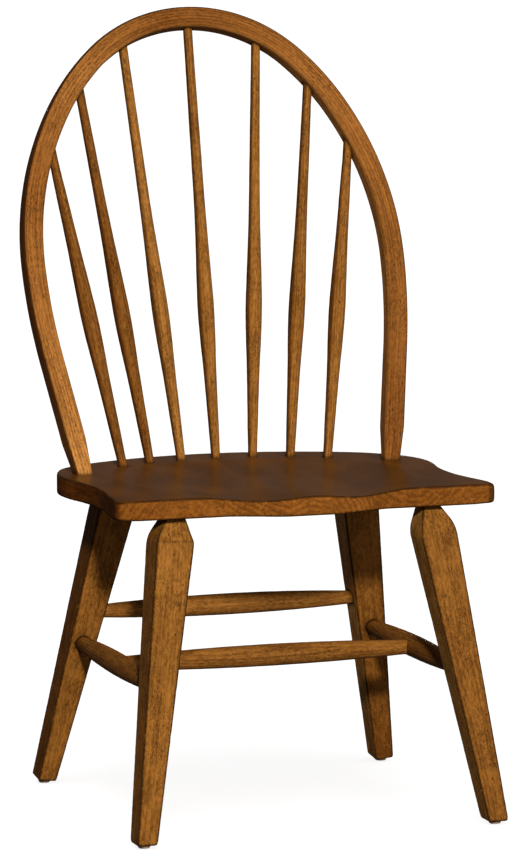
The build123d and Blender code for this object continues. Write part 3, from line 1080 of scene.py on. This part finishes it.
def whole_seat():
    """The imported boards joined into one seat, without the faces between them."""
    whole = bmesh.new()
    for node in GROUPS["seat"]:
        work = frame_mesh(node)
        glued = [
            face for face in work.faces
            if any(all(abs(vert.co.x - seam) < 2e-5 for vert in face.verts) for seam in SEAMS)
        ]
        bmesh.ops.delete(work, geom=glued, context="FACES")
        piece = bpy.data.meshes.new("board")
        work.to_mesh(piece)
        work.free()
        whole.from_mesh(piece)
        bpy.data.meshes.remove(piece)
    bmesh.ops.remove_doubles(whole, verts=whole.verts, dist=5e-5)
    return whole


def seat_shift(points):
    """How far each point of the seat stands to the right of its drawn place: only the rim,
    past the bow's feet, and the spindles' sockets with their feet."""
    ear = smooth_step(-0.17, 0.06, points[:, 1]) * smooth_step(*RIM, -points[:, 0])
    shift = EAR_SHIFT * ear + RIGHT_SHIFT * smooth_step(*RIM, points[:, 0])
    for number in range(-3, 4):
        socket = np.array(spindle_ends(number)[0])
        shift += FOOT_SHIFT * smooth_step(*SOCKET_RIM, flat_gap(points, socket))
    return shift


def board_between(mesh, limits):
    """The part of the seat between two seams, closed where it was cut."""
    board = bmesh.new()
    board.from_mesh(mesh)
    for limit, way in zip(limits, (-1, 1)):
        if abs(limit) == PAST_SEAT:
            continue
        bmesh.ops.bisect_plane(
            board, geom=board.verts[:] + board.edges[:] + board.faces[:], dist=1e-7,
            plane_co=(limit, 0, 0), plane_no=(way, 0, 0), clear_outer=True,
        )
        rim = [edge for edge in board.edges if edge.is_boundary]
        bmesh.ops.triangle_fill(board, edges=rim, use_beauty=True)
        for edge in rim:
            edge.smooth = False
    bmesh.ops.recalc_face_normals(board, faces=board.faces)
    return board


class CHAIR_OT_seat(bpy.types.Operator):
    """Makes the six boards of the seat from one worn, evenly meshed seat"""

    bl_idname = "chair.seat"
    bl_label = "Seat"

    def execute(self, context):
        sizes, finish = settings(context)
        mesh = remeshed(whole_seat(), sizes.seat_step)
        edges = edges_of(mesh)
        points = spread(points_of(mesh), edges, 1)
        # The two front corners are rounded over more than the rest.
        soft = spread(points, edges, 18)
        for way in (-1, 1):
            corner = points[np.argmax(way * points[:, 0] - points[:, 1])]
            share = smooth_step(*SOFT_CORNER, flat_gap(points, corner))[:, None]
            points = points + (soft - points) * share
        put_points(mesh, points)
        wear(mesh, sizes, 3.0)
        points = points_of(mesh)
        points[:, 0] += seat_shift(points)
        put_points(mesh, points)
        # The right front corner is worn dark.
        worn = 0.8 * smooth_step(*WORN_CORNER, flat_gap(points_of(mesh), corner))
        keep(mesh, "arris", np.maximum(smooth_step(*SHARP, convexity(mesh)), worn))
        keep(mesh, "top", smooth_step(0.55, 0.9, normals_of(mesh)[:, 2]))
        paint = material_for("stained_seat", finish, seat=True)
        limits = (-PAST_SEAT, *SEAMS, PAST_SEAT)
        for number, node in enumerate(GROUPS["seat"]):
            low, high = limits[number:number + 2]
            board = board_between(mesh, (low, high))
            made = fresh(f"{node}_worn", bpy.data.meshes.new(f"{node}_worn"))
            board.to_mesh(made.data)
            board.free()
            made.data.materials.append(paint)
            middle = (max(low, -SEAT_HALF) + min(high, SEAT_HALF)) / 2
            dress(
                made, node, "seat", Vector((middle, 0, SEAT_MIDDLE)), BACKWARD, ACROSS,
                SEAT_PITHS[number], 0.7 * number,
            )
            ends = np.abs(normals_of(made.data)[:, 1])
            keep(made.data, "endgrain", smooth_step(0.4, 0.65, ends))
            across = points_of(made.data)[:, 0]
            keep(made.data, "seam", np.minimum(across - low, high - across))
        bpy.data.meshes.remove(mesh)
        return {"FINISHED"}


class CHAIR_OT_legs(bpy.types.Operator):
    """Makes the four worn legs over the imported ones"""

    bl_idname = "chair.legs"
    bl_label = "Legs"

    def execute(self, context):
        sizes, finish = settings(context)
        paint = material_for("stained_legs", finish)
        for number, node in enumerate(GROUPS["legs"]):
            mesh = remeshed(frame_mesh(node), sizes.leg_step)
            edges = edges_of(mesh)
            points = spread(points_of(mesh), edges, 1)
            soft = spread(points, edges, 8)
            low = points[:, 2].min()
            share = smooth_step(low + 0.008, low + 0.002, points[:, 2])[:, None]
            put_points(mesh, points + (soft - points) * share)
            wear(mesh, sizes, 20.0 + 7 * number)
            made = fresh(f"{node}_worn", mesh)
            mesh.materials.append(paint)
            foot, axis = leg_line(FRONT_FOOT if "front" in node else REAR_FOOT)
            if "left" in node:
                foot, axis = mirrored(foot), mirrored(axis)
            dress(
                made, node, "legs", foot, axis, ACROSS, LEG_PITHS[number], 1.1 * number + 0.3,
            )
            if node == "leg_front_left":
                # A faint scored line runs from the inner knee across the front face.
                points, normals = points_of(mesh), normals_of(mesh)
                line = SCORE_HEIGHT - SCORE_FALL * (points[:, 0] + SCORE_PLACE)
                score = np.exp(-(((points[:, 2] - line) / SCORE_WIDTH) ** 2))
                score = score * smooth_step(0.5, 0.8, -normals[:, 1])
                found = read(mesh.attributes["arris"].data, "value", 1)[:, 0]
                keep(mesh, "arris", np.maximum(found, 0.5 * score))
        return {"FINISHED"}


class CHAIR_OT_bow(bpy.types.Operator):
    """Runs the bow's section along its line and wears its arrises"""

    bl_idname = "chair.bow"
    bl_label = "Bow"

    def execute(self, context):
        sizes, finish = settings(context)
        line = bow_line()
        mesh = bpy.data.meshes.new("bow_bent")
        mesh.from_pydata(line, [(at, at + 1) for at in range(len(line) - 1)], [])
        made = fresh("bow_bent", mesh)
        run_group(made, bow_group(), {
            "Step": sizes.stick_step,
            "Facing": BOW_FACING,
            "Material": material_for("stained_bow", finish),
        })
        wear(made.data, sizes, 51.0)
        # The grain follows the bend: how far along the line, outwards, and forwards.
        path = np.array(line)
        runs = np.concatenate([[0], np.cumsum(np.linalg.norm(np.diff(path, axis=0), axis=1))])
        points, normals = points_of(made.data), normals_of(made.data)
        fine_runs = np.linspace(0, runs[-1], PATH_POINTS)
        fine = np.stack([np.interp(fine_runs, runs, path[:, axis]) for axis in range(3)], axis=1)
        nearest = np.empty(len(points), dtype=np.int64)
        for start in range(0, len(points), AT_ONCE):
            some = slice(start, start + AT_ONCE)
            gap = points[some, None, :] - fine[None, :, :]
            nearest[some] = (gap * gap).sum(axis=2).argmin(axis=1)
        facing = np.array(BOW_FACING)
        ways = np.gradient(fine, axis=0)
        ways = (ways / np.linalg.norm(ways, axis=1)[:, None])[nearest]
        outward = np.cross(facing, ways)
        front = np.abs(along_rows(normals, facing))
        outer = along_rows(normals, outward)
        # Painted light along the bow, painted shade on its outer side and painted light on its
        # inner one.
        tones_and_shade = np.interp(fine_runs[nearest], BOW_TONE_RUNS, BOW_PAINTED_LIGHT)
        tones_and_shade = tones_and_shade * (1 - BOW_OUTSIDE_PAINTED_SHADE * smooth_step(0.5, 0.85, outer))
        tones_and_shade = tones_and_shade * (1 + BOW_INSIDE_PAINTED_LIGHT * smooth_step(0.5, 0.85, -outer))
        dress(made, "bow", "bow", Vector((0, 0, 0)), UPWARD, ACROSS, (0, 0), 0, tones_and_shade)
        gap = points - fine[nearest]
        keep(made.data, "grain", np.stack([
            along_rows(gap, outward) + BOW_PITH[0],
            along_rows(gap, facing) + BOW_PITH[1],
            fine_runs[nearest] + along_rows(gap, ways),
        ], axis=1))
        keep(made.data, "endgrain", np.zeros(len(points)))
        # Dark worn bands along the bow's rounded arrises, with painted shade making the outer ones
        # darker than the inner ones.
        band = smooth_step(0.15, 0.45, front) * smooth_step(0.93, 0.7, front)
        keep(made.data, "arris", band * (0.35 + 0.6 * smooth_step(-0.1, 0.1, outer)))
        return {"FINISHED"}


class CHAIR_OT_spindles(bpy.types.Operator):
    """Turns the seven spindles between the seat and the bow"""

    bl_idname = "chair.spindles"
    bl_label = "Spindles"

    def execute(self, context):
        sizes, finish = settings(context)
        paint = material_for("stained_sticks", finish)
        tree = stick_group("spindle_stick", spindle_radius)
        for number in range(-3, 4):
            node = f"spindle_{number + 4}"
            foot, head = spindle_ends(number)
            foot = foot + Vector((FOOT_SHIFT, 0, 0))
            way = (head - foot).normalized()
            made = stick(
                node, tree, foot - way * SPINDLE_TENON, head, (SPINDLE_END, SPINDLE_BELLY),
                SPINDLE_GRIP, 3.7 * number, paint, sizes,
            )
            dress(
                made, node, "spindles", foot, way, ACROSS,
                (0.03 + 0.004 * number, 0.02 - 0.005 * number), 0.6 * number + 5,
            )
        return {"FINISHED"}


class CHAIR_OT_stretchers(bpy.types.Operator):
    """Turns the two side stretchers, the cross stretcher and the rear one"""

    bl_idname = "chair.stretchers"
    bl_label = "Stretchers"

    def execute(self, context):
        sizes, finish = settings(context)
        paint = material_for("stained_sticks", finish)
        tree = stick_group("stretcher_stick", stretcher_radius)
        front_foot, front_axis = leg_line(FRONT_FOOT)
        rear_foot, rear_axis = leg_line(REAR_FOOT)
        front = front_foot + front_axis * SIDE_HEIGHT
        rear = rear_foot + rear_axis * SIDE_HEIGHT
        back = rear_foot + rear_axis * REAR_HEIGHT
        cross = (front + rear) / 2 - Vector((CROSS_STOP, 0, 0))
        plan = (
            ("stretcher_right", front, rear, SIDE_RADII, STRETCHER_GRIP),
            ("stretcher_left", mirrored(front), mirrored(rear), SIDE_RADII, STRETCHER_GRIP),
            ("stretcher_cross", mirrored(cross), cross, CROSS_RADII, CROSS_GRIP),
            ("stretcher_rear", mirrored(back), back, REAR_RADII, STRETCHER_GRIP),
        )
        for number, (node, start, end, radii, grip) in enumerate(plan):
            made = stick(node, tree, start, end, radii, grip, 40 + 9 * number, paint, sizes)
            dress(
                made, node, "stretchers", start, end - start, UPWARD,
                (0.03 + 0.007 * number, 0.035), 0.9 * number + 9,
            )
        return {"FINISHED"}


class CHAIR_OT_pads(bpy.types.Operator):
    """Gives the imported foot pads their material"""

    bl_idname = "chair.pads"
    bl_label = "Foot Pads"

    def execute(self, context):
        paint = matt("pad_felt", context.scene.chair_finish.pad, 0.8)
        for leg in GROUPS["legs"]:
            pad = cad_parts[leg.replace("leg", "pad")]
            if not pad.material_slots:
                pad.data.materials.append(paint)
            for slot in pad.material_slots:
                slot.material = paint
        return {"FINISHED"}


def way_from(azimuth, elevation):
    """The way to a light or a camera that stands there; azimuth 0 is at -Y."""
    level = cos(elevation)
    return Vector((sin(azimuth) * level, -cos(azimuth) * level, sin(elevation)))


def sun(name, azimuth, elevation, strength, softness, lit):
    """A sun that lights those objects alone."""
    lamp = bpy.data.lights.new(name, "SUN")
    lamp.energy = strength
    lamp.angle = softness
    made = fresh(name, lamp)
    way = way_from(azimuth, elevation)
    made.location = way * 4
    made.rotation_euler = way.to_track_quat("Z", "Y").to_euler()
    receivers = bpy.data.collections.new(f"{name}_lit")
    for other in lit:
        receivers.objects.link(other)
    made.visible_glossy = False
    made.light_linking.receiver_collection = receivers


class CHAIR_OT_studio(bpy.types.Operator):
    """Lays the floor and sets up the lights, the world and the camera"""

    bl_idname = "chair.studio"
    bl_label = "Studio"

    def execute(self, context):
        scene = context.scene
        studio = scene.chair_studio
        scene.view_settings.view_transform = "Standard"

        mesh = bpy.data.meshes.new("floor")
        mesh.from_pydata(FLOOR_CORNERS, [], [(0, 1, 2, 3)])
        floor = fresh("floor", mesh)
        paper = bpy.data.materials.new("floor_paper")
        paper.use_nodes = True
        put_inputs(paper.node_tree, paper.node_tree.nodes["Principled BSDF"], {
            "Base Color": (0.86, 0.86, 0.86, 1),
            "Roughness": 0.9,
            "Specular IOR Level": 0.0,
            "Emission Color": (1, 1, 1, 1),
            "Emission Strength": 0.88,
        })
        mesh.materials.append(paper)
        floor.visible_diffuse = False
        floor.visible_glossy = False

        chair = [item for item in scene.objects if item.type == "MESH" and item is not floor]
        sun("key", studio.key_azimuth, studio.key_elevation, studio.key_strength,
            studio.key_softness, chair)
        sun("fill", *FILL_FROM, studio.fill_strength, radians(50), chair)
        # This one comes from straight behind: the camera sees it on the seat's top alone.
        sun("back_fill", studio.camera_azimuth + pi, BACK_HEIGHT, studio.back_strength,
            radians(20), chair)
        sun("floor_light", *FLOOR_LIGHT_FROM, studio.floor_strength, radians(40), [floor])

        world = bpy.data.worlds.new("studio")
        scene.world = world
        world.use_nodes = True
        tree = world.node_tree
        tree.nodes.clear()
        path = add_node(tree, "ShaderNodeLightPath").outputs
        around, mirror = studio.around_strength, studio.mirror_strength
        strength = plus(tree, times(tree, path["Is Glossy Ray"], mirror - around), around)
        strength = calc(tree, "MAXIMUM", strength, path["Is Camera Ray"])
        back = signal(tree, "ShaderNodeBackground", {0: (1, 1, 1, 1), "Strength": strength})
        add_node(tree, "ShaderNodeOutputWorld", {0: back})

        look = -way_from(studio.camera_azimuth, studio.camera_elevation)
        right = Vector((cos(studio.camera_azimuth), sin(studio.camera_azimuth), 0))
        up = right.cross(look)
        roll = studio.camera_roll
        right, up = right + up * roll, up - right * roll
        camera = bpy.data.cameras.new("camera")
        camera.lens = studio.lens
        camera.sensor_width = 36.0
        camera.clip_end = 100.0
        camera.shift_x, camera.shift_y = CAMERA_SHIFT
        scene.camera = fresh("camera", camera)
        turn = Matrix((right.normalized(), up.normalized(), -look)).transposed().to_4x4()
        scene.camera.matrix_world = Matrix.Translation(studio.camera_place) @ turn
        return {"FINISHED"}


class CHAIR_PT_panel(bpy.types.Panel):
    """Sizes, finish and studio of the chair, and a button for each group of pieces"""

    bl_idname = "CHAIR_PT_panel"
    bl_label = "Bow-Back Chair"
    bl_space_type = "VIEW_3D"
    bl_region_type = "UI"
    bl_category = "Chair"

    def draw(self, context):
        scene = context.scene
        for group in (scene.chair_sizes, scene.chair_finish, scene.chair_studio):
            box = self.layout.box()
            for name in group.__annotations__:
                box.prop(group, name)
        for operator in OPERATORS:
            self.layout.operator(operator.bl_idname)


OPERATORS = (
    CHAIR_OT_seat, CHAIR_OT_legs, CHAIR_OT_bow, CHAIR_OT_spindles, CHAIR_OT_stretchers,
    CHAIR_OT_pads, CHAIR_OT_studio,
)
CLASSES = (ChairSizes, ChairFinish, ChairStudio, *OPERATORS, CHAIR_PT_panel)


def register():
    """Adds the chair's panel, its settings and its operators."""
    for kind in CLASSES:
        bpy.utils.register_class(kind)
    bpy.types.Scene.chair_sizes = PointerProperty(type=ChairSizes)
    bpy.types.Scene.chair_finish = PointerProperty(type=ChairFinish)
    bpy.types.Scene.chair_studio = PointerProperty(type=ChairStudio)


def unregister():
    """Takes them away again."""
    del bpy.types.Scene.chair_studio
    del bpy.types.Scene.chair_finish
    del bpy.types.Scene.chair_sizes
    for kind in reversed(CLASSES):
        bpy.utils.unregister_class(kind)


def main():
    """Makes the whole chair."""
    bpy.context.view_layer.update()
    register()
    for operator in OPERATORS:
        module, name = operator.bl_idname.split(".")
        getattr(getattr(bpy.ops, module), name)()


if __name__ == "__main__":
    main()
